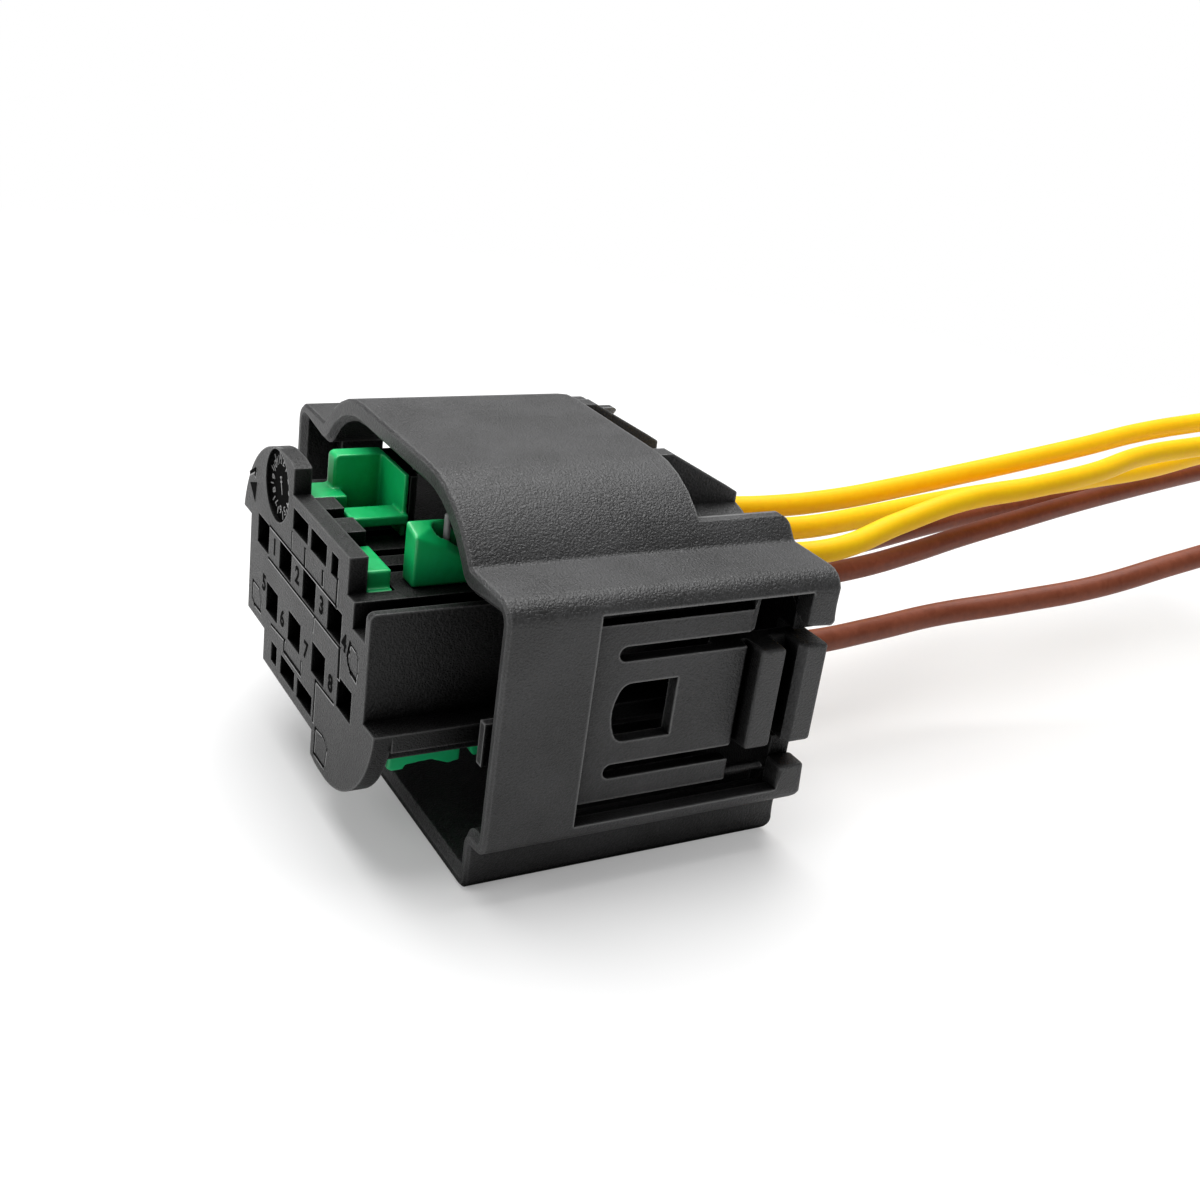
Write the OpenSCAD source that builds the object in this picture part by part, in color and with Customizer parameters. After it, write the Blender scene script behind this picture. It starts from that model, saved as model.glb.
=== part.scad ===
// Prewired connector plug. A moulded outer shell with a hump and two side
// latches holds a contact carrier with two rows of cavities, its lock pieces,
// and socket contacts that are crimped on loose wires.
// +X is the wire side, -X the mating side, +Z up. Millimetres.

/* [Outer shell] */
// Length of the shell from mating edge to wire edge
shell_l = 24.2; // [23.4:0.1:27]
// Width over the side walls
shell_w = 38.1; // [37.6:0.1:40]
// Height of the flat shoulders over the underside
shoulder_z = 21; // [20.6:0.1:23]
// Height of the hump's crown over the shoulders
hump_h = 4.1; // [4:0.1:5.2]
// Wall thickness
wall = 1.1; // [1.05:0.05:1.3]
// Thickness of the wall at the mating edge, inside its lead-in
lip_t = 0.6; // [0.5:0.05:0.8]
// Depth of the lead-in at the mating edge
lip_l = 0.45; // [0.3:0.05:0.8]
// Bevel of the outer mating edge
edge = 0.2; // [0.1:0.05:0.3]
// Width of the base tray
base_w = 34; // [33:0.1:34.8]
// Height of the step between the base tray and the side walls
step_z = 3.55; // [3.2:0.05:4]
// Width of the hump where it leaves the shoulders
hump_w = 26.7; // [26:0.1:28]
// Slope of the hump's flanks in degrees
hump_slope = 50; // [46:1:54]
// Length of the full-height hump
hump_l = 17; // [15:0.1:18]
// Wall thickness of the hump
hump_t = 1.55; // [1.3:0.05:1.9]
// Height of the far shoulder over the near one
far_rise = 0.45; // [0:0.05:0.6]
// Height of the low rear bands over the shoulders
band_h = 1.4; // [1.2:0.1:2.4]
// Radius of the long shoulder edges
shoulder_r = 1.5; // [1.2:0.1:2]
// Radius of the hump's upper bends
crown_r = 9; // [7:0.5:9.5]

/* [Rear deck] */
// Height of the deck's middle over the shoulders
deck_rise = 1.05; // [0.8:0.05:1.3]
// Length of the deck
deck_l = 12; // [9:0.5:14]
// Thickness of the deck
deck_t = 1.1; // [0.9:0.05:1.4]
// Distance between the middles of the two gussets
gusset_gap = 11.2; // [9:0.1:13]
// Thickness of a gusset
gusset_t = 1.3; // [1:0.1:1.8]
// Length of a gusset behind the hump
gusset_l = 7; // [5:0.1:7.2]

/* [Side latches] */
// Front edge of the side windows behind the mating edge
win_x = 6.3; // [5.6:0.05:7]
// Length of the rear posts beside the windows
post_l = 2.1; // [1.8:0.1:2.8]
// Edge of wall left over the window
win_top = 1.2; // [1.1:0.05:1.6]
// Height of the window's sill over the step
win_sill = 1.4; // [1.2:0.05:1.7]
// Height of the hooked upper rear post
hook_h = 3.7; // [3:0.05:3.9]
// Height of the lower rear foot over the step
foot_h = 3.2; // [2.6:0.05:3.6]
// Depth of the rear posts
foot_t = 1.8; // [1.4:0.05:2]
// Height of the latch's middle over the underside
latch_z = 12.25; // [12:0.05:12.6]
// Height of the latch arm
arm_h = 7.4; // [6.8:0.1:7.6]
// Height of the slots that free the arm
slot_h = 1.05; // [0.9:0.05:1.2]
// Height of the strips over and under the slots
strip_h = 1.6; // [1.3:0.05:1.7]
// Thickness of the latch leaf
leaf_t = 1; // [0.8:0.05:1.1]
// Depth of the leaf behind the side wall's face
leaf_in = 1; // [0.7:0.05:1]
// Length of the leaf behind the window's front edge
leaf_l = 12.1; // [11:0.1:12.2]
// Front end of the slots behind the window's front edge
slot_x = 2.2; // [1.8:0.1:3]
// Length of the catch window in the arm
catch_l = 4.65; // [4:0.05:5]
// Height of the catch window in the arm
catch_h = 4.2; // [3.6:0.05:4.6]
// Length of the front grip bar
bar1_l = 2.05; // [1.6:0.05:2.2]
// Length of the rear grip bar
bar2_l = 2.2; // [1.8:0.05:2.4]
// Length of the groove between the grip bars
groove_l = 1.2; // [0.8:0.05:1.3]

/* [Contact carrier] */
// Reach of the carrier's face in front of the shell
plate_proj = 5.8; // [5:0.1:7]
// Thickness of the carrier's face plate
plate_t = 1.25; // [1.1:0.05:1.5]
// Height of the carrier's middle over the underside
mid_z = 12.75; // [12.5:0.05:12.95]
// Cavity pitch along a row
pitch = 5; // [4.6:0.02:5.2]
// Distance between the two rows
row_gap = 4.3; // [4.2:0.05:4.4]
// Width of a cavity's mouth
mouth_w = 2.6; // [2.5:0.05:2.7]
// Height of a cavity's mouth
mouth_h = 2.2; // [2.1:0.05:2.3]
// Width of the carrier's body
body_w = 23.9; // [23.6:0.1:24.6]
// Height of the carrier's body
body_h = 9.8; // [9.7:0.05:10.2]
// Width of the tall middle of the face plate
tall_w = 15.9; // [15.6:0.1:16.6]
// Height of the tall middle of the face plate
tall_h = 14.7; // [14.4:0.1:15]
// Radius of the two round lobes of the face plate
lobe_r = 8.6; // [8.4:0.05:8.8]
// Reach of the side flanges from the middle
flange_y = 13.8; // [13.4:0.1:14.2]
// Thickness of the side flanges
flange_t = 1.25; // [1:0.05:1.5]
// Width of the long groove beside the key rim
groove_w = 2.15; // [1.8:0.05:2.3]
// Thickness of the key rim
key_t = 0.6; // [0.5:0.05:0.8]
// Height of the key rim over the body
key_h = 0.4; // [0.2:0.05:0.8]
// Thickness of the rear bulkhead
bulk_t = 1.6; // [1.2:0.1:2.4]
// Depth of the bulkhead inside the shell's wire edge
rear_in = 0.2; // [0.2:0.1:1.2]
// Diameter of the round mark recess on the face
dial_d = 5.1; // [4.6:0.1:5.2]

/* [Contacts] */
// Clearance round a contact in its cavity
fit = 0.1; // [0.05:0.01:0.15]
// Sheet thickness of the spring cage
cage_t = 0.2; // [0.15:0.01:0.25]
// Sheet thickness of the contact
sheet_t = 0.25; // [0.2:0.01:0.3]
// Length of the contact's box
box_l = 9; // [8:0.1:10]
// Length of the wire crimp
crimp_l = 3.4; // [3:0.1:4]
// Outer diameter of a wire
wire_d = 1.9; // [1.6:0.05:1.95]

/* [Lock pieces] */
// Height of the lock's upright walls over the carrier's top
upright_h = 4.5; // [4.2:0.1:4.9]
// Wall thickness of the lock
lock_t = 1.4; // [1:0.05:1.5]
// Height of the lock's fingers over the carrier's top
finger_h = 2.1; // [1.9:0.05:2.3]
// Depth of the lock's pocket in the carrier's top
pocket = 0.8; // [0.6:0.05:0.9]
// Height of the locking wedge
wedge_h = 3.95; // [3.6:0.05:4.2]
// Length of the locking wedge
wedge_l = 5.4; // [5:0.1:6]
// Depth of the lower lock under the carrier
lower_h = 3; // [2.6:0.1:3.4]
// Diameter of the wedge's and the lower lock's locating pins
pin_d = 1.2; // [1:0.1:1.4]
// Length of the locating pins
pin_l = 0.7; // [0.5:0.05:0.8]

/* [Hidden] */
$fn = 40;
eps = 0.01;
// The origin is under the middle of the plug's length
mid_x = (shell_l - plate_proj) / 2;
crown_z = shoulder_z + hump_h;
band_z = shoulder_z + band_h;
side_y = shell_w / 2;
leaf_y = side_y - leaf_in;
plate_x = -plate_proj;
back_x = plate_x + plate_t;
rear_x = shell_l - rear_in;
bulk_x = rear_x - bulk_t;
// The carrier sits a little toward the near side of the shell, and its face a
// little more
inner_y = -0.25;
face_y = -0.2;
top_z = mid_z + body_h / 2;
low_z = mid_z - body_h / 2;
// A cavity's chamber behind the face plate, wider than its mouth
chamber_w = mouth_w + 0.4;
chamber_h = mouth_h + 0.4;
cage_w = chamber_w - 2 * fit;
cage_h = chamber_h - 2 * fit;
box_w = cage_w - 2 * cage_t;
box_h = cage_h - 2 * cage_t;
cage_x = back_x + fit;
neck_x = cage_x + box_l;
wire_x = neck_x + crimp_l + 1.6;
// Seat of a cavity: its row is 1 for the upper and -1 for the lower one
function seat_y(i, row) = row * pitch / 4 + (1.5 - i) * pitch;
function seat_z(row) = mid_z + row * row_gap / 2;
SEATS = [[0, 1], [1, 1], [2, 1], [1, -1], [0, -1], [3, -1]];
// Routes of the free wires behind the carrier: x from the mating edge, y, z
ROUTE_X = [26, 31, 37, 44, 51, 58, 66, 74, 82, 90, 98];
ROUTE_Y = [[8.6, 7.8, 6.8, 6.8, 7.2, 7.5, 7.4, 7.6, 8.2, 8, 7.6],
           [3.6, 2.8, 2.2, 3, 4, 4.6, 5, 5.4, 6, 7.2, 8.4],
           [-1.4, -2.2, -2.8, -1.8, -1.3, -1.6, -1, 0.8, 1.3, 1.4, 1.6],
           [1.2, 1.3, 1.6, 2.2, 3.6, 5.1, 6.2, 7.4, 8.2, 9, 9.8],
           [6.2, 6, 5.6, 6.2, 7.6, 9.2, 10.6, 11.2, 11.8, 12.6, 13.2],
           [-8.8, -9.1, -8.6, -8.2, -9.5, -11, -12, -12.6, -13, -13.2, -13.2]];
ROUTE_Z = [[14.9, 14.9, 15, 15.2, 15.7, 16.4, 17.5, 18.5, 19.4, 20.2, 20.8],
           [14.9, 14.9, 14.9, 15, 15.2, 15.5, 15.8, 16.1, 16.4, 16.9, 17.3],
           [14.9, 14.8, 15.1, 16.4, 17.8, 18.6, 19.3, 19.9, 20.3, 20.6, 20.8],
           [10.6, 10.6, 10.6, 10.7, 10.9, 11.3, 12, 12.6, 13.3, 13.9, 14.4],
           [10.6, 10.6, 10.6, 10.7, 10.8, 10.9, 11.1, 11.6, 12, 12.6, 13],
           [10.6, 10.6, 10.7, 11.1, 12.1, 13.4, 15.3, 16.8, 17.6, 18, 18.2]];

// Corner rounding of a closed outline, and the outline moved inward by t
function unit(v) = v / norm(v);
function left(v) = [-v.y, v.x];
function bend(a, b, c, r, n) =
    let (u = unit(a - b), v = unit(c - b), h = acos(u * v) / 2, o = b + unit(u + v) * r / sin(h))
    let (s = b + u * r / tan(h) - o, e = b + v * r / tan(h) - o, a0 = atan2(s.y, s.x))
    let (turn = (atan2(e.y, e.x) - a0 + 540) % 360 - 180)
    r < 0.05 ? [b] : [for (i = [0:n]) o + r * [cos(a0 + turn * i / n), sin(a0 + turn * i / n)]];
function rounded(pts, radii, n = 5) =
    let (m = len(pts))
    [for (i = [0:m - 1]) each bend(pts[(i + m - 1) % m], pts[i], pts[(i + 1) % m], radii[i], n)];
function moved_in(pts, t) =
    let (m = len(pts))
    [for (i = [0:m - 1])
        let (p = left(unit(pts[i] - pts[(i + m - 1) % m])), q = left(unit(pts[(i + 1) % m] - pts[i])))
        pts[i] + (p + q) * t / (1 + p * q)];

// Section of the shell across its length, moved inward by t
function half_section(rise) =
    let (hump_in = (hump_h - rise) / tan(hump_slope), z = shoulder_z + rise)
    [[base_w / 2, 0], [base_w / 2, step_z], [side_y, step_z], [side_y, z],
     [hump_w / 2, z], [hump_w / 2 - hump_in, crown_z]];
half_radii = [0.8, 0.2, 1.3, shoulder_r, 0.5, crown_r];
// 1 where the outline turns outward, -1 where it turns inward
half_turn = [1, -1, 1, 1, -1, 1];
near_section = half_section(0);
section = concat(half_section(far_rise), [for (i = [5:-1:0]) [-near_section[i].x, near_section[i].y]]);
function section_r(t) = [for (i = [0:5]) max(0.2, half_radii[i] - half_turn[i] * t)];
function outline(t) =
    let (r = section_r(t))
    rounded(moved_in(section, t), concat(r, [for (i = [5:-1:0]) r[i]]));
// Inner outline with a wall t, and u round the hump
function inner_outline(t, u) =
    let (a = outline(t), b = outline(u), m = len(a))
    [for (i = [0:m - 1]) let (c = floor(12 * i / m)) c > 3 && c < 8 ? b[i] : a[i]];

module along_x(x0, x1) translate([x0, 0, 0]) rotate([90, 0, 90]) linear_extrude(x1 - x0) children();
module along_y(y0, y1) translate([0, y1, 0]) rotate([90, 0, 0]) linear_extrude(y1 - y0) children();
module block(x0, x1, y0, y1, z0, z1) translate([x0, y0, z0]) cube([x1 - x0, y1 - y0, z1 - z0]);
module on_both_sides() for (s = [0, 1]) mirror([0, s, 0]) children();
module on_both_halves() for (s = [0, 1]) mirror([s, 0]) children();
// A half turn about the carrier's long middle line
module turned() translate([0, face_y, mid_z]) rotate([180, 0, 0]) translate([0, -face_y, -mid_z]) children();
// Ring of the mating edge: bevelled outside, with a lead-in inside
module mouth_ring() {
    loops = [[0, outline(edge)], [edge, outline(0)], [lip_l, outline(0)],
             [lip_l, inner_outline(wall, hump_t)], [0, inner_outline(lip_t, wall)]];
    q = len(loops);
    m = len(outline(0));
    polyhedron([for (l = loops, p = l[1]) [l[0], p.x, p.y]],
        [for (k = [0:q - 1], i = [0:m - 1]) let (j = (i + 1) % m, a = k * m, b = ((k + 1) % q) * m)
            each [[a + j, a + i, b + i], [a + j, b + i, b + j]]]);
}
// What rounds off the corner at (x, z): up is 1 for an upper and -1 for a lower corner
module corner_off(x, z, r, up) {
    difference() {
        block(x - r, x + 1, -side_y - 1, side_y + 1, up > 0 ? z - r : z - 1, up > 0 ? z + 1 : z + r);
        translate([x - r, 0, z - up * r]) rotate([90, 0, 0]) cylinder(r = r, h = shell_w + 4, center = true);
    }
}

foot_r = 1;
hook_r = 0.4;
base_in = 0.25;
module shell_tube() {
    hook_z = shoulder_z - hook_h;
    foot_z = step_z + foot_h;
    mouth_ring();
    difference() {
        along_x(lip_l - eps, shell_l) polygon(outline(0));
        along_x(lip_l - 1, shell_l + 1) polygon(inner_outline(wall, hump_t));
        // the hump ends short of the shell, and only low bands run on
        block(hump_l, shell_l + 1, -hump_w, hump_w, band_z, crown_z + 1);
        corner_off(shell_l, band_z, 0.55, 1);
        along_x(hump_l, shell_l + 1) intersection() {
            polygon(inner_outline(wall, lip_t));
            translate([-hump_w / 2, wing_z + 0.5]) square([hump_w, hump_h]);
        }
        // the base tray ends short of the side walls
        block(shell_l - base_in, shell_l + 1, -base_w, base_w, -1, step_z);
        corner_off(shell_l - base_in, 0, 1.2, -1);
        on_both_sides() {
            // side window, open to the rear between the hook and the foot
            block(win_x, shell_l - post_l, side_y - 2 * wall, side_y + 1,
                  step_z + win_sill, shoulder_z - win_top);
            block(shell_l - post_l - eps, shell_l + 1, side_y - 2 * wall, side_y + 1, foot_z, hook_z);
        }
        intersection() {
            corner_off(shell_l, hook_z, hook_r, -1);
            block(0, shell_l + 1, -side_y - 1, side_y + 1, hook_z - eps, hook_z + hook_r);
        }
        intersection() {
            corner_off(shell_l, step_z, foot_r, -1);
            on_both_sides() block(0, shell_l + 1, base_w / 2 + eps, side_y + 1, step_z - 1, step_z + foot_r);
        }
    }
    // the posts are deeper than the wall
    on_both_sides() {
        block(shell_l - post_l, shell_l, side_y - foot_t, side_y - wall + eps, step_z + foot_r, foot_z);
        block(shell_l - post_l, shell_l, side_y - foot_t, side_y - wall + eps,
              hook_z + hook_r, shoulder_z - shoulder_r);
    }
}

// Arched deck at the rear with flat wings under the shoulders, and two gussets on it
deck_r = 23;
arch_y = 9.5;
deck_y = hump_w / 2 + 0.2;
deck_top = shoulder_z + deck_rise;
deck_turn = asin(arch_y / deck_r);
deck_end = hump_l + gusset_l;
wing_z = deck_top - deck_r + deck_r * cos(deck_turn);
deck_low = wing_z - deck_t;
// Points of the arch, t under its top, from one angle to another
function arch(t, from, to) = [for (i = [0:8]) let (a = from + (to - from) * i / 8)
    [(deck_r - t) * sin(a), deck_top - deck_r + (deck_r - t) * cos(a)]];
module rear_deck() {
    inner_gap = gusset_gap / 2 - gusset_t / 2;
    difference() {
        along_x(shell_l - deck_l, deck_end) polygon(concat(
            [[deck_y, wing_z]], arch(0, deck_turn, -deck_turn), [[-deck_y, wing_z], [-deck_y, deck_low]],
            arch(deck_t, -deck_turn, deck_turn), [[deck_y, deck_low]]));
        // notch between the gussets
        block(deck_end - gusset_l / 2, shell_l + 1, -inner_gap, inner_gap, deck_low, crown_z);
    }
    gusset_z = crown_z - 0.1;
    end_z = deck_top - 0.15;
    on_both_sides() along_y(inner_gap, inner_gap + gusset_t) polygon(rounded(
        [[hump_l - 3, deck_top - deck_t], [deck_end, deck_top - deck_t], [deck_end, end_z],
         [hump_l + 1.1, gusset_z], [hump_l - 3, gusset_z]], [0, 0, 0.25, 0, 0]));
}

// Latch leaf of one side: a slotted panel whose middle is the latch arm. Only
// the near leaf has a strip over the arm and a guide rail in front
module latch_leaf(near) {
    leaf_h = arm_h + 2 * slot_h + 2 * strip_h;
    end_x = win_x + leaf_l;
    catch_x = win_x + slot_x;
    dip_y = leaf_y - leaf_t;
    low = latch_z - leaf_h / 2;
    along_y(dip_y, leaf_y) difference() {
        translate([win_x - 3.4, low]) square([leaf_l + 3.4, leaf_h]);
        if (!near) translate([win_x, latch_z + arm_h / 2]) square([leaf_l + 1, arm_h]);
        for (s = [-1, 1]) translate([win_x + slot_x + slot_h / 2, latch_z + s * (arm_h + slot_h) / 2]) {
            circle(d = slot_h);
            translate([0, -slot_h / 2]) square([leaf_l, slot_h]);
        }
        // catch window with one bowed end
        polygon(rounded([[catch_x + catch_l, latch_z - catch_h / 2], [catch_x + catch_l, latch_z + catch_h / 2],
            [catch_x + 0.65, latch_z + catch_h / 2], [catch_x - 0.3, latch_z],
            [catch_x + 0.65, latch_z - catch_h / 2]], [0, 0, 0.9, 3.4, 0.9]));
    }
    // the arm's end runs on deeper in and carries two grip bars
    bar2_x = shell_l - bar2_l;
    bar1_x = bar2_x - groove_l - bar1_l;
    translate([0, 0, latch_z - arm_h / 2]) linear_extrude(arm_h) polygon([
        [end_x - 2.4, dip_y - leaf_t + 0.6], [end_x - 1.8, dip_y - leaf_t], [shell_l, dip_y - leaf_t],
        [shell_l, side_y], [bar2_x + 0.5, side_y], [bar2_x, side_y - 0.5], [bar2_x, dip_y], [bar1_x + bar1_l, dip_y],
        [bar1_x + bar1_l, side_y], [bar1_x, side_y], [bar1_x, dip_y], [end_x - eps, dip_y],
        [end_x - eps, dip_y + eps], [end_x - 2.4, dip_y + eps]]);
    // ends of the two strips: a rib up to the shoulder and a stop finger
    if (near) block(end_x - eps, end_x + 0.45, dip_y, leaf_y - 0.2,
                    latch_z + arm_h / 2 + slot_h, shoulder_z - wall + eps);
    block(end_x - 0.5, end_x + 3.2, dip_y, leaf_y - 0.3, low, low + 0.6);
    // guide rail for the mating half in front of the leaf
    if (near) {
        block(lip_l + 0.1, win_x - 2.3, dip_y - 1.3, dip_y - 0.6, latch_z - 3.4, latch_z - 0.4);
        block(win_x - 3.3, win_x - 2.3, dip_y - 0.7, dip_y + eps, latch_z - 3.4, latch_z - 0.4);
    }
}

module outer_shell() color("dimgray") {
    shell_tube();
    rear_deck();
    mirror([0, 1, 0]) latch_leaf(true);
    latch_leaf(false);
}

// Outline of the carrier's face, with two opposite round lobes
lobe_o = [5.3, 0.9];
lobe_in = 3;
lobe_top = tall_h / 2 + 2.1;
// Depth of the near flange's top and of the far flange's underside from the middle
near_drop = 2.1;
far_drop = 2.55;
module face_lobe(drop) intersection() {
    translate(lobe_o) circle(r = lobe_r, $fn = 64);
    translate([lobe_in, drop]) square([flange_y - lobe_in, lobe_top - drop]);
}
module face_outline() translate([face_y, mid_z]) {
    square([tall_w, tall_h], center = true);
    square([body_w, body_h], center = true);
    face_lobe(far_drop);
    rotate(180) face_lobe(near_drop);
}

// Small square openings for test probes, on both long edges
module probe_holes() for (a = [0, 180]) translate([face_y, mid_z]) rotate(a) {
    for (y = [-0.33, -4]) translate([y, tall_h / 2 - 2.3]) square([3.08, 1.5]);
    translate([-6.15, tall_h / 2 - 2.3]) square([1.25, 1.5]);
}

module cavity(i, row) {
    y = seat_y(i, row);
    z = seat_z(row);
    block(plate_x - 1, back_x + eps, y - mouth_w / 2, y + mouth_w / 2, z - mouth_h / 2, z + mouth_h / 2);
    block(back_x, rear_x + 1, y - chamber_w / 2, y + chamber_w / 2, z - chamber_h / 2, z + chamber_h / 2);
}

// Teeth behind the face's edge that the lock's fingers pass between
tooth_l = 1.6;
tooth_h = finger_h + 0.05;
TEETH = [[0.65, 2.8], [-3.45, -0.98]];
gap = 0.13;
lock_x = back_x + gap;
spine_l = 2.5;
finger_l = 1.65;
panel_t = 0.35;
panel_x = back_x + 5.55;
far_y = 5.85;
near_y = face_y - tall_w / 2 + 0.05;
wedge_x = back_x + 3.05;
wedge_w = 1.7;
slot_w = 0.85;
post_d = 0.45;
pin_x = wedge_x + 3.5;
low_y = near_y + 0.5;
ear_y = side_y - foot_t - 0.05 + inner_y;
notch_y = leaf_y - 2 * leaf_t - 0.5 + inner_y;
tray_y = base_w / 2 - wall - 0.2 + inner_y;

module contact_carrier() color("#1c1c1e") difference() {
    key_y = face_y - body_w / 2;
    union() {
        along_x(plate_x, back_x) face_outline();
        block(back_x - eps, bulk_x + eps, key_y, face_y + body_w / 2, low_z, top_z);
        // rim that keys the mating half, round at its front corner
        along_y(key_y, key_y + key_t) polygon(rounded([[plate_x, mid_z], [bulk_x, mid_z],
            [bulk_x, top_z + key_h], [plate_x, top_z + key_h]], [0, 0, 0, 0.45]));
        // side flanges behind the lobes
        block(back_x - eps, bulk_x + eps, face_y - flange_y, key_y + eps,
              mid_z - near_drop - flange_t, mid_z - near_drop);
        turned() block(back_x - eps, bulk_x + eps, face_y - flange_y, key_y + eps,
                       mid_z - far_drop - flange_t, mid_z - far_drop);
        for (t = TEETH) {
            block(back_x - eps, back_x + tooth_l, t[0], t[1], top_z, top_z + tooth_h);
            turned() block(back_x - eps, back_x + tooth_l, t[0], t[1], top_z - eps, top_z + tooth_h);
        }
        // bulkhead that stands on the shell's floor, notched for the latch arms
        along_x(bulk_x, rear_x) on_both_halves() polygon(
            [[-eps, wall], [tray_y - 0.8, wall], [tray_y, wall + 0.8], [tray_y, step_z + wall],
             [ear_y, step_z + wall + 0.9], [ear_y, latch_z - arm_h / 2 - 0.4],
             [notch_y, latch_z - arm_h / 2 - 0.4], [notch_y, latch_z + arm_h / 2 + 0.4],
             [ear_y, latch_z + arm_h / 2 + 0.4], [ear_y, deck_low - 1], [ear_y - 0.7, deck_low - 0.3],
             each arch(deck_t + 0.3, deck_turn, 0), [-eps, deck_top - deck_t - 0.3]]);
        // wall that backs the lock's panel, thicker at its far end
        translate([panel_x + panel_t + 0.05, 0, top_z - eps]) linear_extrude(upright_h - 0.1)
            polygon([[0, 0.1], [0.5, 0.1], [1.4, far_y], [0, far_y]]);
    }
    for (row = [-1, 1], i = [0:3]) cavity(i, row);
    along_x(plate_x - 1, back_x + 0.5) probe_holes();
    // long groove beside the key rim
    block(plate_x - 1, bulk_x, key_y + key_t, key_y + key_t + groove_w, top_z - 1.75, top_z + 1);
    // round mark recess on the upper lobe
    translate([plate_x - 1, 6.2, mid_z + 6.75]) rotate([0, 90, 0]) cylinder(d = dial_d, h = 1.35);
    // pocket under the lock's spine, and long grooves above and below
    block(back_x, lock_x + finger_l + 0.15, near_y - 0.05, far_y + 0.15, top_z - pocket, top_z + eps);
    block(back_x, lock_x + spine_l + 0.15, -0.5, far_y + 0.15, top_z - pocket, top_z + eps);
    for (y = [1.05, -2.3, -4.9]) {
        block(lock_x + spine_l, bulk_x - 2, y - 0.5, y + 0.5, top_z - 0.6, top_z + 1);
        turned() block(lock_x + spine_l, bulk_x - 2, y - 0.5, y + 0.5, top_z - 0.6, top_z + 1);
    }
    // seats of the locating pins
    translate([pin_x, near_y + wedge_w / 2, top_z - pin_l - fit]) cylinder(d = pin_d + 2 * fit, h = 2);
    translate([pin_x, low_y - lock_t / 2, low_z - 1]) cylinder(d = pin_d + 2 * fit, h = 1 + pin_l + fit);
}

// Upper lock: a spine in the carrier's pocket, fingers between the teeth and
// an upright corner
module upper_lock() color("#0b8a43") {
    up = top_z + upright_h;
    ledge = top_z + finger_h;
    spine_x = lock_x + spine_l;
    difference() {
        union() {
            block(lock_x, lock_x + finger_l, near_y, far_y, top_z - pocket, top_z);
            block(lock_x, spine_x, -0.35, far_y, top_z - pocket, top_z);
        }
        for (t = TEETH) block(back_x, back_x + tooth_l + gap, t[0] - gap, t[1] + gap, top_z - 0.3, top_z + 1);
    }
    // near finger, far foot and middle ledge
    block(lock_x, lock_x + finger_l, near_y + 0.45, TEETH[1][0] - gap, top_z - eps, top_z + 1.2);
    block(lock_x, spine_x, TEETH[0][1] + gap, far_y, top_z - eps, ledge);
    block(back_x + tooth_l + gap, spine_x, -0.35, 1.8, top_z - eps, ledge - 0.35);
    block(spine_x - eps, panel_x + 0.3, -0.35, 1.8, ledge - 1.05, ledge - 0.35);
    // upright corner
    along_y(far_y - lock_t, far_y) polygon(rounded([[back_x + 2.15, top_z], [panel_x + panel_t, top_z],
        [panel_x + panel_t, up], [back_x + 2.15, up]], [0, 0, 0, 0.4]));
    block(panel_x, panel_x + panel_t, 0.1, far_y - eps, top_z, up);
}

// Lower lock under the carrier: a wall with two lugs
module lower_lock() color("#0b8a43") {
    z = low_z;
    d = lower_h;
    x = back_x + 2;
    along_y(low_y - lock_t, low_y) polygon([[x, z], [x, z - d + 0.2], [x + 0.3, z - d], [x + 1.2, z - d],
        [x + 1.25, z - d + 0.3], [x + 3.1, z - d + 0.45], [x + 4.4, z - d - 0.05], [x + 5.2, z - d + 0.1],
        [x + 5.2, z - 1.2], [x + 5.6, z - 1.2], [x + 6.2, z - d + 0.25], [x + 7.3, z - d + 0.25], [x + 7.3, z]]);
    translate([pin_x, low_y - lock_t / 2, z - eps]) cylinder(d = pin_d, h = pin_l);
}

// Locking wedge on the carrier's near ledge: a ridge that falls off to the rear, with a
// slot behind it and a thin post in the slot
module lock_wedge() color("#0b8a43") {
    y0 = near_y;
    y1 = near_y + wedge_w;
    z1 = top_z + wedge_h;
    difference() {
        hull() {
            along_y(y1 - eps, y1) polygon([[wedge_x, top_z], [wedge_x + wedge_l, top_z],
                [wedge_x + wedge_l, top_z + 0.5], [wedge_x + 2.6, z1], [wedge_x, z1]]);
            along_y(y0, y0 + eps) polygon([[wedge_x, top_z], [wedge_x + wedge_l, top_z],
                [wedge_x + wedge_l, top_z + 0.4], [wedge_x + 2.3, z1 - 1.42], [wedge_x, z1 - 0.52]]);
        }
        translate([wedge_x + 1.5 + slot_w / 2, y1 - 0.25 - slot_w / 2, top_z + 0.8]) {
            cylinder(d = slot_w, h = wedge_h);
            block(0, wedge_l, -slot_w / 2, slot_w / 2, 0, wedge_h);
        }
    }
    translate([wedge_x + 2.55, y1 - 0.25 - slot_w / 2, top_z + 0.8 - eps])
        cylinder(d = post_d, h = wedge_h - 0.2);
    translate([pin_x, y0 + wedge_w / 2, top_z - pin_l]) cylinder(d = pin_d, h = pin_l + 0.3);
}

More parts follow.
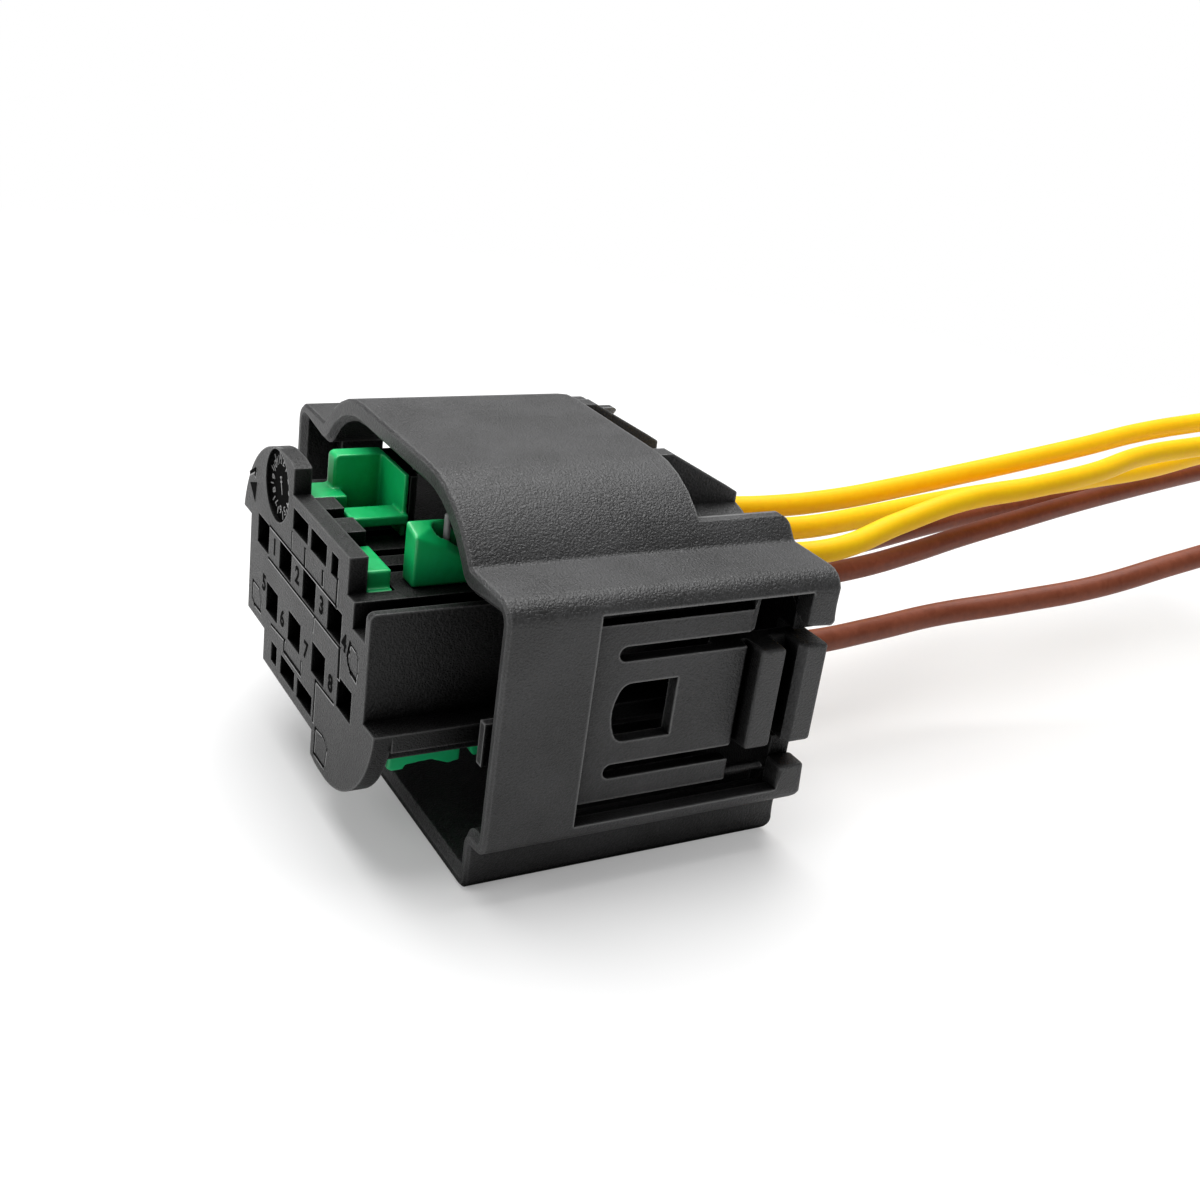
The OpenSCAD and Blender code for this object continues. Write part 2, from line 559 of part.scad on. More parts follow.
// Socket contact: a folded box, a neck, a wire crimp and an insulation crimp
module contact_at(k) {
    s = SEATS[k];
    translate([0, seat_y(s[0], s[1]), seat_z(s[1])]) color("#b9a26a") {
        difference() {
            block(cage_x, neck_x, -box_w / 2, box_w / 2, -box_h / 2, box_h / 2);
            block(cage_x - 1, neck_x - sheet_t, -box_w / 2 + sheet_t, box_w / 2 - sheet_t,
                  -box_h / 2 + sheet_t, box_h / 2 - sheet_t);
        }
        block(neck_x - eps, neck_x + 1.6, -box_w / 2 + sheet_t, box_w / 2 - sheet_t,
              -box_h / 2, -box_h / 2 + 2 * sheet_t);
        translate([neck_x + 0.8, 0, -0.15]) rotate([0, 90, 0]) cylinder(d = 1.5, h = crimp_l + 0.8);
        difference() {
            translate([wire_x - 0.3, 0, 0]) rotate([0, 90, 0])
                cylinder(d = wire_d + 2 * sheet_t, h = 0.3 + crimp_l * 0.7);
            translate([wire_x, 0, 0]) rotate([0, 90, 0]) cylinder(d = wire_d, h = crimp_l);
        }
    }
}

// Steel spring cage round the contact's box
module cage_at(k) {
    s = SEATS[k];
    translate([0, seat_y(s[0], s[1]), seat_z(s[1])]) color("silver") difference() {
        block(cage_x, cage_x + box_l * 0.8, -cage_w / 2, cage_w / 2, -cage_h / 2, cage_h / 2);
        block(cage_x - 1, cage_x + box_l, -box_w / 2, box_w / 2, -box_h / 2, box_h / 2);
    }
}

// Insulated wire swept along its route with eight sides
module wire_at(k) {
    s = SEATS[k];
    seat = [seat_y(s[0], s[1]), seat_z(s[1])];
    path = concat([[wire_x, seat.x, seat.y], [wire_x + 6, seat.x, seat.y]],
                  [for (i = [0:len(ROUTE_X) - 1]) [ROUTE_X[i], ROUTE_Y[k][i], ROUTE_Z[k][i]]]);
    n = len(path);
    sides = 8;
    function way(i) = unit(path[min(i + 1, n - 1)] - path[max(i - 1, 0)]);
    rings = [for (i = [0:n - 1])
        let (t = i < 2 ? [1, 0, 0] : way(i), u = unit(cross([0, 0, 1], t)), v = cross(t, u))
        for (j = [0:sides - 1]) path[i] + wire_d / 2 * (u * cos(360 * j / sides) + v * sin(360 * j / sides))];
    polyhedron(rings, concat([[for (j = [sides - 1:-1:0]) j]],
        [for (i = [0:n - 2], j = [0:sides - 1]) let (a = i * sides, b = (j + 1) % sides)
            each [[a + j, a + b, a + sides + b], [a + j, a + sides + b, a + sides + j]]],
        [[for (j = [0:sides - 1]) (n - 1) * sides + j]]));
}

module placed(y = 0) translate([-mid_x, y, 0]) children();
placed() outer_shell();
placed(inner_y) contact_carrier();
placed(inner_y) upper_lock();
placed(inner_y) lower_lock();
placed(inner_y) lock_wedge();
for (k = [0:5]) {
    placed(inner_y) contact_at(k);
    placed(inner_y) cage_at(k);
}
for (k = [0:2]) {
    placed(inner_y) color("#f5c400") wire_at(k);
    placed(inner_y) color("#7a4028") wire_at(k + 3);
}
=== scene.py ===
"""Looks of a prewired connector plug: a black moulded shell and contact carrier, green lock
pieces, and yellow and brown wires, on a pale studio floor."""
import math

import bmesh
import bpy
from mathutils import Matrix, Vector


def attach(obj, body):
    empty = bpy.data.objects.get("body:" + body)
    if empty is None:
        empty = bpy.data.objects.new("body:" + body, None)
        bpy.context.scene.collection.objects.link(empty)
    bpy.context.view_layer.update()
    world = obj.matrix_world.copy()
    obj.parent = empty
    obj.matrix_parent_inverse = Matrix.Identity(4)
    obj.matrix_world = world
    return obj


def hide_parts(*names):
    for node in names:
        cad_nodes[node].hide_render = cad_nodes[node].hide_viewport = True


MM = 0.001

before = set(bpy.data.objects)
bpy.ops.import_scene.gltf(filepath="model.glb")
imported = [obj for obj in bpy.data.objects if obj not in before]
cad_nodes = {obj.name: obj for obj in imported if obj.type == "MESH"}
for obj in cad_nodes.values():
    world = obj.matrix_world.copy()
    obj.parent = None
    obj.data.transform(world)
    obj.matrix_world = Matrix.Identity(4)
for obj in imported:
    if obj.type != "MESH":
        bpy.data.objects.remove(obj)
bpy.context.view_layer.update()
scene = bpy.context.scene

# Millimetres: the shell's mating edge, how far the carrier's face stands out from it, the
# face, and the carrier's middle line, which lies a little toward the near side
EDGE_X = -9.2
FACE_OUT = 5.8
FACE_X = EDGE_X - FACE_OUT
INNER_Y = -0.25

# Camera: its place in millimetres, its axes, its sensor and lens in millimetres, and what it
# sees from and to in metres
CAMERA_AT = (-45.849, -87.285, 55.965)
CAMERA_RIGHT = (0.86995, -0.47611, 0.12843)
CAMERA_UP = (0.09020, 0.40969, 0.90775)
CAMERA_BACK = (-0.48480, -0.77812, 0.39936)
SENSOR_W = 36
FOCAL = 44.44
SEES_FROM = 0.005
SEES_TO = 20


def studio_camera():
    """Put the camera where the photograph was taken from."""
    lens = bpy.data.cameras.new("studio_camera")
    lens.sensor_width = SENSOR_W
    lens.lens = FOCAL
    lens.clip_start = SEES_FROM
    lens.clip_end = SEES_TO
    camera = bpy.data.objects.new("studio_camera", lens)
    scene.collection.objects.link(camera)
    turn = Matrix((CAMERA_RIGHT, CAMERA_UP, CAMERA_BACK)).transposed()
    camera.matrix_world = Matrix.Translation(Vector(CAMERA_AT) * MM) @ turn.to_4x4()
    scene.camera = camera


# Materials
# Moulded plastic: the size of its slow changes of tone in millimetres, the stretch of the
# summed noise that tone and gloss follow, and how far the gloss strays either way
CLOUD_MM = 5.0
NOISE_LOW = 0.75
NOISE_HIGH = 1.3
GLOSS_STRAY = 0.06
# How open a spot is, from 0 to 1: a painted highlight on a free edge starts at one value and is
# full at the other, and painted shade in a nook is darkest at one value and clear at the other
HIGHLIGHT_STARTS = 0.92
HIGHLIGHT_FULL = 0.62
NOOK_DARKEST = 0.4
NOOK_CLEAR = 0.92
# Specular level in the open, which painted shade lowers in nooks, and the number of rays that
# feel for edges and nooks
OPEN_SPECULAR = 0.5
FEELERS = 8
# Light that enters the green plastic: its share, and how far its red, green and blue get
GLOW_SHARE = 0.2
GLOW_REACH = (0.25, 1.0, 0.45)
# Rolled metal: the streaks are stretched along x, and the gloss strays this far
STREAK_SCALE = (0.08, 1.0, 1.0)
METAL_STRAY = 0.08
# Places of the two colours and of the mixed colour on a mix node's sockets
MIX_A = 6
MIX_B = 7
MIXED = 2


def linear(code):
    """An sRGB hex colour as linear RGBA."""
    parts = [int(code[i:i + 2], 16) / 255 for i in (1, 3, 5)]
    flat = [c / 12.92 if c <= 0.04045 else ((c + 0.055) / 1.055) ** 2.4 for c in parts]
    return (*flat, 1.0)


def per_mm(size):
    """Texture scale that gives features of this size in millimetres."""
    return 1 / (size * MM)


def add(tree, kind, inputs, **settings):
    """Add a node with its settings, and set or link its inputs."""
    made = tree.nodes.new(kind)
    for key, value in settings.items():
        setattr(made, key, value)
    for key, value in inputs.items():
        if isinstance(value, bpy.types.NodeSocket):
            tree.links.new(value, made.inputs[key])
        else:
            made.inputs[key].default_value = value
    return made


def new_material(name):
    """A material with an empty node tree."""
    material = bpy.data.materials.new(name)
    material.use_nodes = True
    material.node_tree.nodes.clear()
    return material, material.node_tree


def moulded_plastic(name, dark, light, rough, grain_mm, grain_depth, edge_mm, ior=1.55, glow_mm=0.0,
                    highlight_colour=None, nook_mm=0.0, nook_left=0.05):
    """Moulded plastic: a grain, slow changes of tone and gloss, and soft edges. Where a highlight
    colour is given, free edges take it as a painted highlight and nooks get painted shade."""
    material, tree = new_material(name)
    place = add(tree, "ShaderNodeTexCoord", {}).outputs["Object"]
    grain = add(tree, "ShaderNodeTexNoise", {
        "Vector": place, "Scale": per_mm(grain_mm), "Detail": 2.0, "Roughness": 0.55, "Distortion": 0.4})
    cloud = add(tree, "ShaderNodeTexNoise", {"Vector": place, "Scale": per_mm(CLOUD_MM), "Detail": 4.0})
    noise = add(tree, "ShaderNodeMath", {0: grain.outputs["Fac"], 1: cloud.outputs["Fac"]}, operation="ADD")
    tone = add(tree, "ShaderNodeMapRange", {
        "Value": noise.outputs["Value"], "From Min": NOISE_LOW, "From Max": NOISE_HIGH})
    colour = add(tree, "ShaderNodeMix", {
        "Factor": tone.outputs["Result"], MIX_A: linear(dark), MIX_B: linear(light)}, data_type="RGBA")
    gloss = add(tree, "ShaderNodeMapRange", {
        "Value": noise.outputs["Value"], "From Min": NOISE_LOW, "From Max": NOISE_HIGH,
        "To Min": rough - GLOSS_STRAY, "To Max": rough + GLOSS_STRAY})
    soft_edge = add(tree, "ShaderNodeBevel", {"Radius": edge_mm * MM}, samples=FEELERS)
    bump = add(tree, "ShaderNodeBump", {
        "Height": grain.outputs["Fac"], "Strength": 1.0, "Distance": grain_depth * MM,
        "Normal": soft_edge.outputs["Normal"]})
    shader = add(tree, "ShaderNodeBsdfPrincipled", {
        "Base Color": colour.outputs[MIXED], "Roughness": gloss.outputs["Result"], "IOR": ior,
        "Normal": bump.outputs["Normal"]})
    if highlight_colour:
        # free edges take a painted highlight, and nooks get painted shade: darker, with less reflection
        edge = add(tree, "ShaderNodeAmbientOcclusion", {"Distance": edge_mm * MM}, samples=FEELERS,
                   inside=True, only_local=True)
        bare = add(tree, "ShaderNodeMapRange", {
            "Value": edge.outputs["AO"], "From Min": HIGHLIGHT_STARTS, "From Max": HIGHLIGHT_FULL})
        highlit_colour = add(tree, "ShaderNodeMix", {
            "Factor": bare.outputs["Result"], MIX_A: colour.outputs[MIXED], MIX_B: linear(highlight_colour)},
            data_type="RGBA")
        room = add(tree, "ShaderNodeAmbientOcclusion", {"Distance": nook_mm * MM}, samples=FEELERS)
        shade = add(tree, "ShaderNodeMapRange", {
            "Value": room.outputs["AO"], "From Min": NOOK_DARKEST, "From Max": NOOK_CLEAR,
            "To Min": nook_left, "To Max": 1.0})
        nook = add(tree, "ShaderNodeMix", {
            "Factor": 1.0, MIX_A: highlit_colour.outputs[MIXED], MIX_B: shade.outputs["Result"]},
            data_type="RGBA", blend_type="MULTIPLY")
        sheen = add(tree, "ShaderNodeMath", {0: shade.outputs["Result"], 1: OPEN_SPECULAR},
                    operation="MULTIPLY")
        tree.links.new(nook.outputs[MIXED], shader.inputs["Base Color"])
        tree.links.new(sheen.outputs["Value"], shader.inputs["Specular IOR Level"])
    if glow_mm:
        # light that enters at an edge comes out again a little further on
        shader.inputs["Subsurface Weight"].default_value = GLOW_SHARE
        shader.inputs["Subsurface Radius"].default_value = GLOW_REACH
        shader.inputs["Subsurface Scale"].default_value = glow_mm * MM
    add(tree, "ShaderNodeOutputMaterial", {"Surface": shader.outputs["BSDF"]})
    return material


def plated_metal(name, dark, light, rough, streak_mm):
    """Sheet metal with faint rolling streaks along the contact."""
    material, tree = new_material(name)
    place = add(tree, "ShaderNodeTexCoord", {}).outputs["Object"]
    along = add(tree, "ShaderNodeMapping", {"Vector": place, "Scale": STREAK_SCALE})
    streak = add(tree, "ShaderNodeTexNoise", {
        "Vector": along.outputs["Vector"], "Scale": per_mm(streak_mm), "Detail": 2.0})
    colour = add(tree, "ShaderNodeMix", {
        "Factor": streak.outputs["Fac"], MIX_A: linear(dark), MIX_B: linear(light)}, data_type="RGBA")
    gloss = add(tree, "ShaderNodeMapRange", {
        "Value": streak.outputs["Fac"], "To Min": rough - METAL_STRAY, "To Max": rough + METAL_STRAY})
    shader = add(tree, "ShaderNodeBsdfPrincipled", {
        "Base Color": colour.outputs[MIXED], "Metallic": 1.0, "Roughness": gloss.outputs["Result"]})
    add(tree, "ShaderNodeOutputMaterial", {"Surface": shader.outputs["BSDF"]})
    return material


# Black PBT with a spark-eroded grain: a dull sheen that breaks up into specks. The grain of
# both black plastics is drawn coarser and deeper than real grain, so that it shows
# Its free edges take a light grey painted highlight, and its nooks painted shade
SHELL_PBT = moulded_plastic("black PBT grained", "#141414", "#383839", rough=0.46, grain_mm=0.15,
                            grain_depth=0.1, edge_mm=0.2, highlight_colour="#707070", nook_mm=3.5)
# Black PBT from a smoother cavity: flatter tone, softer sheen
# Its free edges take a painted highlight, and its nooks painted shade over a longer reach
CARRIER_PBT = moulded_plastic("black PBT smooth", "#080808", "#1e1e1e", rough=0.4, grain_mm=0.15,
                              grain_depth=0.1, edge_mm=0.16, ior=1.42, highlight_colour="#565656", nook_mm=5.0)
# Painted shade for the bottoms of moulded marks and recesses, which hardly any light reaches: near black,
# with hardly any reflection
MARK_PBT = moulded_plastic("black PBT in marks", "#020202", "#040404", rough=0.8, grain_mm=0.3,
                           grain_depth=0.01, edge_mm=0.02, ior=1.1)
# Rims of the marks, ridges of the dial and the wedge's post, drawn light grey as a painted highlight
RIDGE_PBT = moulded_plastic("black PBT painted highlight ridges", "#787878", "#9a9a9a", rough=0.4, grain_mm=0.3,
                            grain_depth=0.01, edge_mm=0.03)
# Green PBT, smooth: waxy, with soft bright edges, partly from light that enters them and partly
# a painted highlight, and with painted shade in its nooks
LOCK_PBT = moulded_plastic("green PBT smooth", "#08b863", "#12c270", rough=0.34, grain_mm=0.5,
                           grain_depth=0.012, edge_mm=0.12, glow_mm=0.3, highlight_colour="#66d49c", nook_mm=2.0,
                           nook_left=0.4)
# The lower piece's green is written lighter, to make up for the little light that reaches it
LOWER_PBT = moulded_plastic("green PBT light", "#1fd083", "#2ad98c", rough=0.34, grain_mm=0.5,
                            grain_depth=0.012, edge_mm=0.12, glow_mm=0.3)
# Soft PVC insulation: smooth, with a satin sheen and a faint unevenness
YELLOW_PVC = moulded_plastic("yellow PVC extruded", "#fdc400", "#ffce00", rough=0.5, grain_mm=0.6,
                             grain_depth=0.01, edge_mm=0.05, ior=1.3)
BROWN_PVC = moulded_plastic("brown PVC extruded", "#703620", "#82442d", rough=0.45, grain_mm=0.6,
                            grain_depth=0.01, edge_mm=0.05, ior=1.35)
TIN_BRASS = plated_metal("tin plated brass", "#9c9482", "#b8b09c", rough=0.34, streak_mm=0.12)
SPRING_STEEL = plated_metal("spring steel strip", "#8f9294", "#b0b3b5", rough=0.3, streak_mm=0.1)
BARE_COPPER = plated_metal("bare copper strand", "#a8572f", "#c97a4a", rough=0.32, streak_mm=0.1)


def seat(bm, name, material, slot, *replaced):
    """Make a finished mesh a piece of the plug."""
    mesh = bpy.data.meshes.new(name)
    bm.to_mesh(mesh)
    bm.free()
    mesh.materials.append(material)
    piece = bpy.data.objects.new(name, mesh)
    scene.collection.objects.link(piece)
    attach(piece, "root")
    if replaced:
        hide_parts(*replaced)
    return piece


# Wires, in millimetres: thickness, start from the mating edge and straight stretch from there,
# and how finely the curve is cut along and round the wire
WIRE_D = 1.9
WIRE_X = 9.55
STRAIGHT = 6
WIRE_STEPS = 10
WIRE_ROUND = 6
# Copper strands at a cut end: how many lie round the middle one, their thickness, length and
# sides, the tip's radius as a share of the thickness, and how far the middle lies inside
STRANDS_ROUND = 6
STRAND_D = 0.42
STRAND_L = 0.9
STRAND_SIDES = 12
STRAND_TIP = 0.46
STRAND_IN = 0.1
# The model's routes: x from the mating edge for all wires, and for each wire the y and z of
# its seat and then of its points behind the carrier
ROUTE_X = (26, 31, 37, 44, 51, 58, 66, 74, 82, 90, 98)
ROUTES = {
    "wire_yellow_1": (8.75, 14.9,
                      (8.6, 7.8, 6.8, 6.8, 7.2, 7.5, 7.4, 7.6, 8.2, 8, 7.6),
                      (14.9, 14.9, 15, 15.2, 15.7, 16.4, 17.5, 18.5, 19.4, 20.2, 20.8)),
    "wire_yellow_2": (3.75, 14.9,
                      (3.6, 2.8, 2.2, 3, 4, 4.6, 5, 5.4, 6, 7.2, 8.4),
                      (14.9, 14.9, 14.9, 15, 15.2, 15.5, 15.8, 16.1, 16.4, 16.9, 17.3)),
    "wire_yellow_3": (-1.25, 14.9,
                      (-1.4, -2.2, -2.8, -1.8, -1.3, -1.6, -1, 0.8, 1.3, 1.4, 1.6),
                      (14.9, 14.8, 15.1, 16.4, 17.8, 18.6, 19.3, 19.9, 20.3, 20.6, 20.8)),
    "wire_brown_1": (1.25, 10.6,
                     (1.2, 1.3, 1.6, 2.2, 3.6, 5.1, 6.2, 7.4, 8.2, 9, 9.8),
                     (10.6, 10.6, 10.6, 10.7, 10.9, 11.3, 12, 12.6, 13.3, 13.9, 14.4)),
    "wire_brown_2": (6.25, 10.6,
                     (6.2, 6, 5.6, 6.2, 7.6, 9.2, 10.6, 11.2, 11.8, 12.6, 13.2),
                     (10.6, 10.6, 10.6, 10.7, 10.8, 10.9, 11.1, 11.6, 12, 12.6, 13)),
    "wire_brown_3": (-8.75, 10.6,
                     (-8.8, -9.1, -8.6, -8.2, -9.5, -11, -12, -12.6, -13, -13.2, -13.2),
                     (10.6, 10.6, 10.7, 11.1, 12.1, 13.4, 15.3, 16.8, 17.6, 18, 18.2)),
}


def wire_points(name):
    """The points of a wire's middle line, in metres in the part's frame."""
    seat_y, seat_z, ys, zs = ROUTES[name]
    points = [(WIRE_X, seat_y, seat_z), (WIRE_X + STRAIGHT, seat_y, seat_z), *zip(ROUTE_X, ys, zs)]
    return [Vector((x + EDGE_X, y + INNER_Y, z)) * MM for x, y, z in points]


def strand_end(name, points):
    """Copper strands that show at a wire's cut end: one in the middle and the rest round it."""
    end = points[-1]
    way = (points[-1] - points[-2]).normalized()
    turn = way.to_track_quat("Z", "Y").to_matrix().to_4x4()
    spots = [(0.0, 0.0)]
    for k in range(STRANDS_ROUND):
        angle = math.radians(360 / STRANDS_ROUND * k)
        spots.append((STRAND_D * math.cos(angle), STRAND_D * math.sin(angle)))
    bm = bmesh.new()
    for u, v in spots:
        at = Matrix.Translation(end) @ turn @ Matrix.Translation(Vector((u, v, -STRAND_IN)) * MM)
        bmesh.ops.create_cone(bm, cap_ends=True, segments=STRAND_SIDES, radius1=STRAND_D / 2 * MM,
                              radius2=STRAND_D * STRAND_TIP * MM, depth=STRAND_L * MM, matrix=at)
    return seat(bm, name + "_strands", BARE_COPPER, "contact_alloy")


def lay_wires():
    """Each wire is one smooth round curve along its route, cut bare at its end."""
    for name in ROUTES:
        points = wire_points(name)
        curve = bpy.data.curves.new(name + "_insulation", "CURVE")
        curve.dimensions = "3D"
        curve.resolution_u = WIRE_STEPS
        curve.bevel_depth = WIRE_D / 2 * MM
        curve.bevel_resolution = WIRE_ROUND
        curve.use_fill_caps = True
        spline = curve.splines.new("BEZIER")
        spline.bezier_points.add(len(points) - 1)
        for knot, point in zip(spline.bezier_points, points):
            knot.co = point
            knot.handle_left_type = "AUTO"
            knot.handle_right_type = "AUTO"
        yellow = "yellow" in name
        curve.materials.append(YELLOW_PVC if yellow else BROWN_PVC)
        wire = bpy.data.objects.new(name + "_insulation", curve)
        scene.collection.objects.link(wire)
        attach(wire, "root")
        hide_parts(name)
        strand_end(name, points)


# Moulded pieces: the model's own solids. Bends below the crease are shaded smooth, corners
# this close in millimetres are joined, and flat faces weigh this much in the shading
CREASE = math.radians(26)
JOIN = 0.002
FLAT_WEIGHT = 90
# Latch bars and ears lie behind this x and outside this y. Of their edges, those sharper and
# longer than this are rounded to this radius, and flats are joined up to this angle before
LATCH_X = 8.5
LATCH_Y = 16.0
LATCH_SHARP = math.radians(60)
LATCH_LONG = 0.6
LATCH_R = 0.3
FLAT = math.radians(0.5)


def smooth_bends(bm, crease=CREASE):
    """Shade every face smooth, and keep the edges that really are edges."""
    for face in bm.faces:
        face.smooth = True
    for edge in bm.edges:
        edge.smooth = len(edge.link_faces) == 2 and edge.calc_face_angle() < crease


def merged_copy(name):
    """The model's mesh of a node with its loose corners joined."""
    bm = bmesh.new()
    bm.from_mesh(cad_nodes[name].data)
    bmesh.ops.remove_doubles(bm, verts=bm.verts, dist=JOIN * MM)
    return bm


def keep_flats_flat(piece):
    """Let the large flat faces set the shading at their corners."""
    weigh = piece.modifiers.new("flat_faces_first", "WEIGHTED_NORMAL")
    weigh.keep_sharp = True
    weigh.weight = FLAT_WEIGHT


def round_latches(bm):
    """Round the free edges of the latch bars and ears on both sides of the shell."""
    bmesh.ops.dissolve_limit(bm, angle_limit=FLAT, verts=bm.verts, edges=bm.edges)
    edges = [e for e in bm.edges if len(e.link_faces) == 2 and e.is_convex
             and e.calc_face_angle() > LATCH_SHARP and e.calc_length() > LATCH_LONG * MM
             and all(v.co.x > LATCH_X * MM and abs(v.co.y) > LATCH_Y * MM for v in e.verts)]
    bmesh.ops.bevel(bm, geom=edges, offset=LATCH_R * MM, offset_type="OFFSET", segments=3, profile=0.5,
                    affect="EDGES", material=-1)
    bmesh.ops.triangulate(bm, faces=[f for f in bm.faces if len(f.verts) > 4])


def mould_black_pieces():
    """The shell and the carrier, smooth where their walls bend."""
    for name, material, slot in (("outer_shell", SHELL_PBT, "shell_plastic"),
                                 ("contact_carrier", CARRIER_PBT, "carrier_plastic")):
        bm = merged_copy(name)
        if name == "outer_shell":
            round_latches(bm)
        smooth_bends(bm)
        keep_flats_flat(seat(bm, name + "_moulding", material, slot, name))


# Post in the wedge's slot, in millimetres: its foot in the part's frame, diameter, height,
# sides, radius of its top edge, and the crease below which it is shaded smooth
POST_AT = Vector((-8.15, -7.325, 18.4))
POST_D = 0.45
POST_H = 3.79
POST_SIDES = 24
POST_TOP_R = 0.15
POST_CREASE = math.radians(36)
# The wedge's own post is taken away above this height, within this share of its diameter
POST_FROM = 18.3
POST_REACH = 0.6
# The green pieces' edges are rounded by a fine remesh and a little smoothing: the cell in
# millimetres, the share that a round of smoothing moves a corner, and the rounds
CELL = 0.09
SOFT_SHARE = 0.5
SOFT_ROUNDS = 5


def soften(bm):
    """Round every edge of a solid a little. The work is done in millimetres."""
    bmesh.ops.scale(bm, vec=Vector((1, 1, 1)) / MM, verts=bm.verts)
    mesh = bpy.data.meshes.new("solid_in_mm")
    bm.to_mesh(mesh)
    bm.free()
    holder = bpy.data.objects.new("solid_in_mm", mesh)
    scene.collection.objects.link(holder)
    cells = holder.modifiers.new("fine_cells", "REMESH")
    cells.mode = "VOXEL"
    cells.voxel_size = CELL
    smooth = holder.modifiers.new("soft_edges", "SMOOTH")
    smooth.factor = SOFT_SHARE
    smooth.iterations = SOFT_ROUNDS
    made = bpy.data.meshes.new_from_object(holder.evaluated_get(bpy.context.evaluated_depsgraph_get()))
    made.transform(Matrix.Scale(MM, 4))
    bm = bmesh.new()
    bm.from_mesh(made)
    bpy.data.objects.remove(holder)
    bpy.data.meshes.remove(mesh)
    bpy.data.meshes.remove(made)
    for face in bm.faces:
        face.smooth = True
    return bm


def mould_locks():
    """The green lock pieces with their soft edges. The wedge loses its post, which is drawn light
    grey as a painted highlight and is a piece of its own."""
    for name in ("upper_lock", "lock_wedge", "lower_lock"):
        bm = merged_copy(name)
        if name == "lock_wedge":
            post = [v for v in bm.verts if v.co.z > POST_FROM * MM
                    and (v.co.xy - POST_AT.xy * MM).length < POST_D * POST_REACH * MM]
            bmesh.ops.delete(bm, geom=post, context="VERTS")
            bmesh.ops.holes_fill(bm, edges=[e for e in bm.edges if e.is_boundary])
        material = LOWER_PBT if name == "lower_lock" else LOCK_PBT
        seat(soften(bm), name + "_moulding", material, "lock_plastic", name)


def stand_post():
    """The thin post in the wedge's slot, round at its top, in a painted highlight."""
    bm = bmesh.new()
    place = Matrix.Translation((POST_AT + Vector((0, 0, POST_H / 2))) * MM)
    bmesh.ops.create_cone(bm, cap_ends=True, segments=POST_SIDES, radius1=POST_D / 2 * MM,
                          radius2=POST_D / 2 * MM, depth=POST_H * MM, matrix=place)
    rim = [e for e in bm.edges if all(v.co.z > (POST_AT.z + POST_H / 2) * MM for v in e.verts)]
    bmesh.ops.bevel(bm, geom=rim, offset=POST_TOP_R * MM, offset_type="OFFSET", segments=4, profile=0.5,
                    affect="EDGES", material=-1)
    smooth_bends(bm, POST_CREASE)
    seat(bm, "wedge_post", RIDGE_PBT, "carrier_plastic")


# Widths of the strokes on the carrier's face in millimetres, from the finest seam to the
# deepest mark, and how much a stroke runs past its ends, as a share of its width
HAIR = 0.09
SEAM = 0.15
LINE = 0.21
GROOVE = 0.26
BROAD = 0.3
DEEP = 0.4
STROKE_PAST = 0.8
# Strokes: width and points of y from the carrier's middle line and z, in millimetres
STROKES = (
    (GROOVE, ((12.38, 18.23), (11.1, 18.95), (11.2, 18.46))),
    (SEAM, ((7.4, 16.05), (-6.5, 16.1))),
    (SEAM, ((2.64, 17.5), (2.62, 16.1))),
    (BROAD, ((-0.1, 17.35), (-0.15, 16.2))),
    (BROAD, ((-3.65, 17.25), (-3.7, 16.4))),
    (GROOVE, ((-6.37, 17.9), (-6.35, 16.1))),
    (LINE, ((10.77, 10.4), (10.79, 9.03), (10.28, 8.7), (8.74, 8.75))),
    (HAIR, ((10.77, 10.4), (9.23, 10.4), (8.76, 9.6), (8.74, 8.75))),
    (GROOVE, ((3.2, 9.1), (3.15, 8.24), (-0.46, 8.24))),
    (SEAM, ((-0.46, 8.24), (-0.46, 9.21))),
    (DEEP, ((-7.48, 13.6), (-7.56, 11.65))),
    (BROAD, ((-9.2, 14.8), (-9.05, 14.3), (-8.9, 13.75), (-9.1, 13.35), (-9.57, 13.0), (-10.5, 12.87))),
    (HAIR, ((-9.2, 14.8), (-10.23, 14.72), (-10.63, 14.43), (-10.73, 13.55), (-10.5, 12.87))),
    (LINE, ((-3.97, 5.95), (-3.94, 4.01), (-5.88, 4.02))),
    (HAIR, ((-3.97, 5.95), (-5.34, 6.13), (-5.87, 5.97), (-6.33, 5.63), (-6.06, 4.18), (-5.88, 4.02))),
    (LINE, ((-3.46, 9.26), (-3.43, 6.2))),
    (SEAM, ((-3.4, 9.3), (-7.0, 9.42))),
    (SEAM, ((7.4, 13.6), (-7.4, 13.64))),
    (HAIR, ((-2.56, 13.6), (-2.48, 12.45))),
    (SEAM, ((6.2, 8.9), (3.0, 9.14))),
)
# Cavity numbers with their places, their height, the font's size for that height, and how
# much their lines are widened
FIGURES = (("1", 6.2, 14.85), ("2", 1.2, 14.85), ("3", -3.75, 14.85), ("4", -8.15, 14.3),
           ("5", 8.2, 11.25), ("6", 3.87, 10.4), ("7", -1.25, 10.4), ("8", -6.2, 10.4))
FIGURE_H = 1.2
FONT_SIZE = 1.4
FIGURE_BOLD = 0.05
# Marks in painted shade stand this far off the face. Their rims, a painted highlight, are lower,
# wider, and shifted down and aside
MARK_UP = 0.014
RIM_UP = 0.007
RIM_W = 0.06
RIM_AWAY = 0.06
# Three-cornered mark at the far lobe: its place, radius and turn
CORNER_Y = 11.35
CORNER_Z = 17.35
CORNER_R = 0.95
CORNER_TURN = math.radians(200)
# Dial: its middle, radius and depth, the room round its floor, the thickness of the floor and
# of the ridges on it, and the sides of its rounds
DIAL_Y = 6.2
DIAL_Z = 19.5
DIAL_R = 2.55
DIAL_DEEP = 0.35
DIAL_ROOM = 0.03
DIAL_THICK = 0.04
DIAL_SIDES = 48
